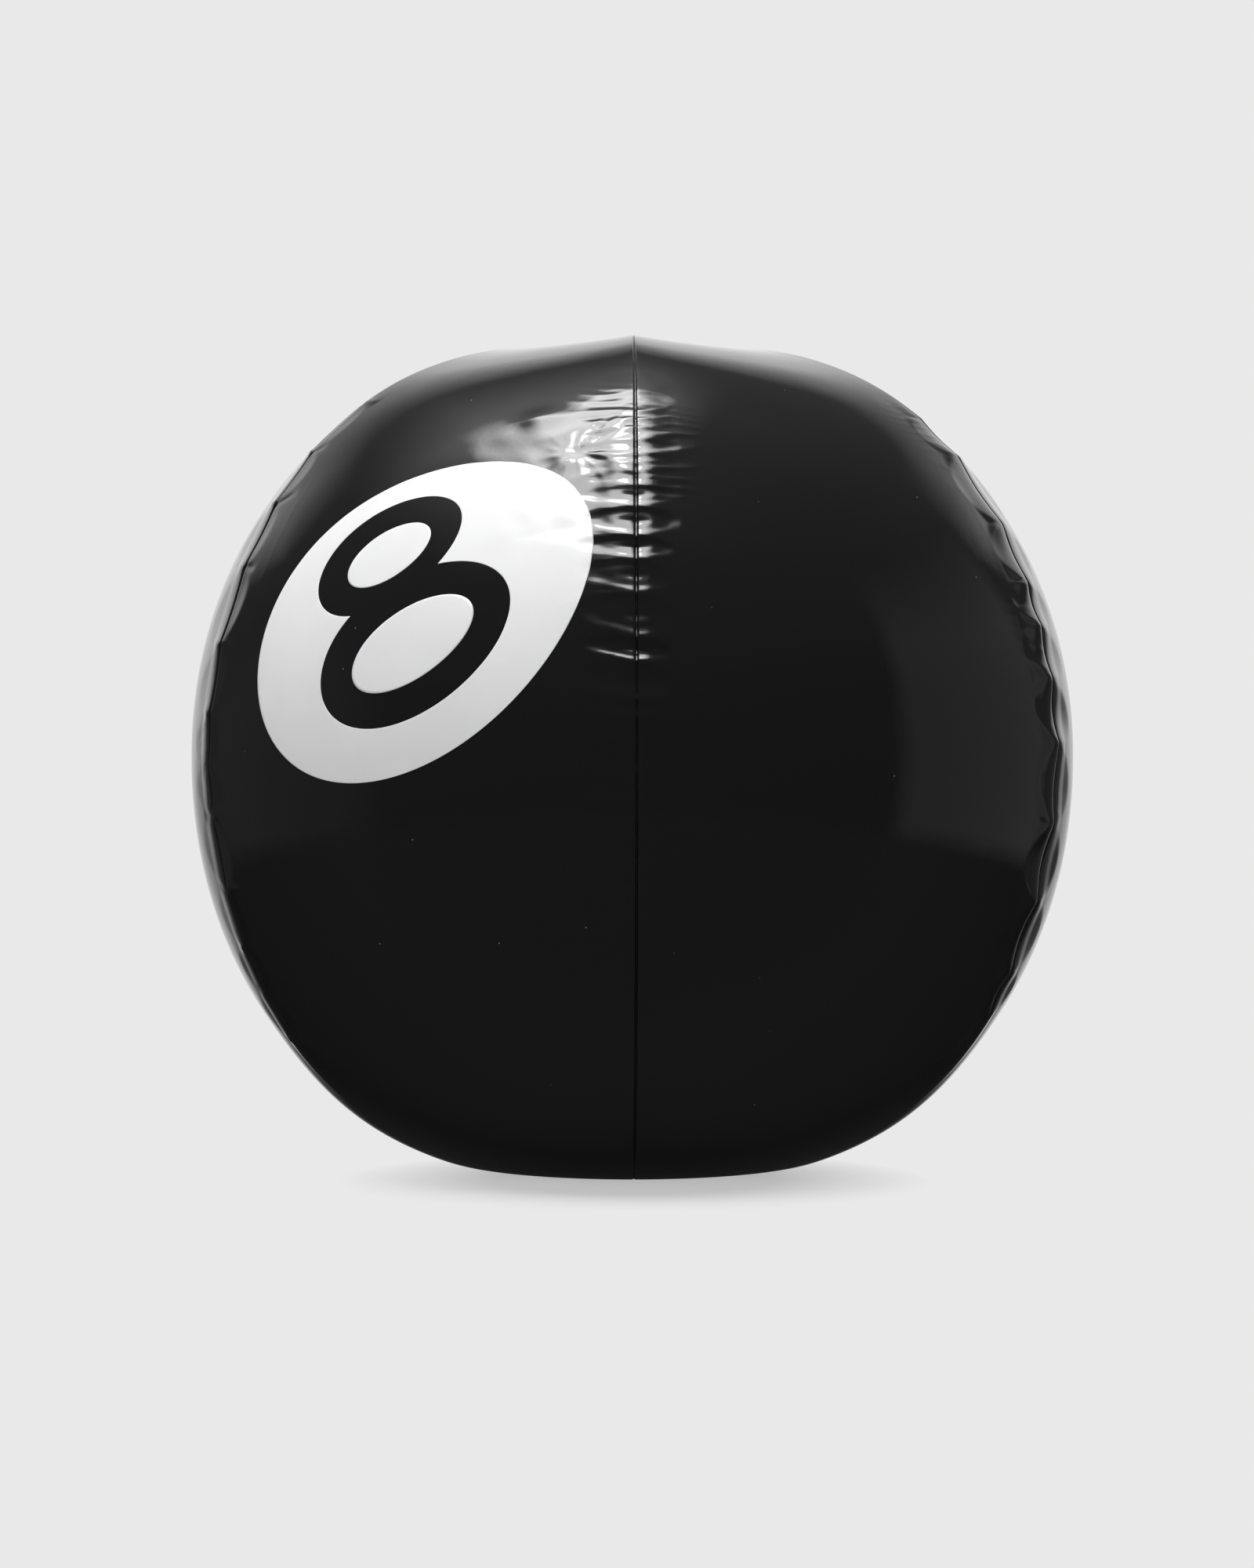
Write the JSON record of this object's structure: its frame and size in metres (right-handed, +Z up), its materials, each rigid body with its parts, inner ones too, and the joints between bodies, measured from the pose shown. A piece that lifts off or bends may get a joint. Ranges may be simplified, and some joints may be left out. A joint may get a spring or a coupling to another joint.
{
  "type": "inflatable eight ball",
  "caption": "Inflatable vinyl ball in the form of an eight ball: welded panels with turned-in seams, end patches, printed oval spot and a push-in valve with plug and flap.",
  "frame": {"origin": "middle of the resting face, under the bottom pole", "axes": "+Z up along the pole axis, -Y towards the front seam, +X to the right of it; the printed spot is on the front left panel"},
  "size_m": [0.39, 0.4048, 0.3645],
  "materials": {
    "black_vinyl": "high-gloss PVC film, puckered along the welds",
    "welded_vinyl": "pressed weld, slightly duller than the film",
    "white_ink": "opaque screen-printed ink, glossy",
    "valve_film": "soft PVC, semi-gloss",
    "valve_moulding": "soft translucent grey PVC",
    "plug_moulding": "soft translucent grey PVC",
    "flap_film": "thin soft PVC"
  },
  "bodies": {
    "ball": {"panel_front_right": "black_vinyl", "panel_right": "black_vinyl", "panel_back_right": "black_vinyl", "panel_back_left": "black_vinyl", "panel_left": "black_vinyl", "panel_front_left": "black_vinyl", "weld_front": "welded_vinyl", "weld_front_right": "welded_vinyl", "weld_back_right": "welded_vinyl", "weld_back": "welded_vinyl", "weld_back_left": "welded_vinyl", "weld_front_left": "welded_vinyl", "top_patch": "black_vinyl", "bottom_patch": "black_vinyl", "print_field": "white_ink", "print_upper_counter": "white_ink", "print_lower_counter": "white_ink", "valve_flange": "valve_film", "valve_boot": "valve_film"},
    "valve": {"valve_stem": "valve_moulding"},
    "plug": {"valve_plug": "plug_moulding", "plug_tether": "plug_moulding"},
    "flap": {"valve_flap": "flap_film"}
  },
  "joints": [
    {"name": "valve_pull", "type": "slide", "parent": "ball", "child": "valve", "axis": [0.4183, 0.7245, 0.5478], "range_m": [0, 0.012], "deforming": ["valve_boot"]},
    {"name": "plug_swing", "type": "hinge", "parent": "valve", "child": "plug", "pos_m": [0.08121, 0.14065, 0.2913], "axis": [0.866, -0.5, 0], "range_deg": [0, 120]},
    {"name": "flap_open", "type": "hinge", "parent": "valve", "child": "flap", "pos_m": [0.07806, 0.1352, 0.27343], "axis": [0.866, -0.5, 0], "range_deg": [0, 40], "stiffness_Nm_per_rad": 0.0002}
  ]
}
